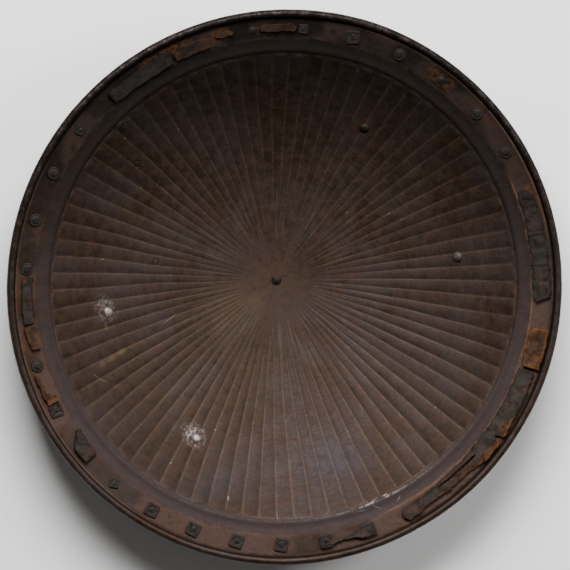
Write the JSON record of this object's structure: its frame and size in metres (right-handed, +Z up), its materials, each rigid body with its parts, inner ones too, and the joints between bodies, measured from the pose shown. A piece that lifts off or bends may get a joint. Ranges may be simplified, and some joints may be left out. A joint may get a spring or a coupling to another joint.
{
  "type": "round shield",
  "caption": "Round dished iron shield with radial flutes, a turned rim, lining rivets with square washers and remnants of leather, lying on its face.",
  "frame": {"origin": "centre of the flat spot under the shield, on the floor", "axes": "+Z up out of the hollow back, +Y to the top of the pictured view, +X to its right"},
  "size_m": [0.5596, 0.5596, 0.0877],
  "materials": {
    "iron_plate": "dark brown patina over hammered iron, rubbed bright on the rim",
    "iron_rivets": "forged iron, dark brown, worn on the edges",
    "old_leather": "dry torn leather, brown to orange"
  },
  "bodies": {
    "root": {"shield_plate": "iron_plate", "centre_rivet": "iron_rivets", "strap_rivet_1": "iron_rivets", "strap_rivet_2": "iron_rivets", "strap_rivet_3": "iron_rivets", "strap_rivet_4": "iron_rivets", "rim_rivet_01": "iron_rivets", "rim_rivet_02": "iron_rivets", "rim_rivet_03": "iron_rivets", "rim_rivet_04": "iron_rivets", "rim_rivet_05": "iron_rivets", "rim_rivet_06": "iron_rivets", "rim_rivet_07": "iron_rivets", "rim_rivet_08": "iron_rivets", "rim_rivet_09": "iron_rivets", "rim_rivet_10": "iron_rivets", "rim_rivet_11": "iron_rivets", "rim_rivet_12": "iron_rivets", "rim_rivet_13": "iron_rivets", "rim_rivet_14": "iron_rivets", "rim_rivet_15": "iron_rivets", "rim_rivet_16": "iron_rivets", "rim_rivet_17": "iron_rivets", "rim_rivet_18": "iron_rivets", "rim_rivet_19": "iron_rivets", "rim_rivet_20": "iron_rivets", "rim_rivet_21": "iron_rivets", "rim_rivet_22": "iron_rivets", "rim_rivet_23": "iron_rivets", "rim_rivet_24": "iron_rivets", "rim_rivet_25": "iron_rivets", "rim_rivet_26": "iron_rivets", "rim_rivet_27": "iron_rivets", "rim_rivet_28": "iron_rivets", "rim_rivet_29": "iron_rivets", "rim_rivet_30": "iron_rivets", "rim_rivet_31": "iron_rivets", "rim_rivet_32": "iron_rivets", "rim_rivet_33": "iron_rivets", "rim_rivet_34": "iron_rivets", "leather_strip_right": "old_leather", "leather_patch_tab": "old_leather", "leather_strip_torn": "old_leather", "leather_waist": "old_leather", "leather_trapezoid": "old_leather", "leather_scrap_1": "old_leather", "leather_scrap_2": "old_leather", "leather_scrap_3": "old_leather", "leather_scrap_4": "old_leather", "leather_scrap_5": "old_leather", "leather_scrap_6": "old_leather", "leather_scrap_7": "old_leather"}
  },
  "joints": []
}
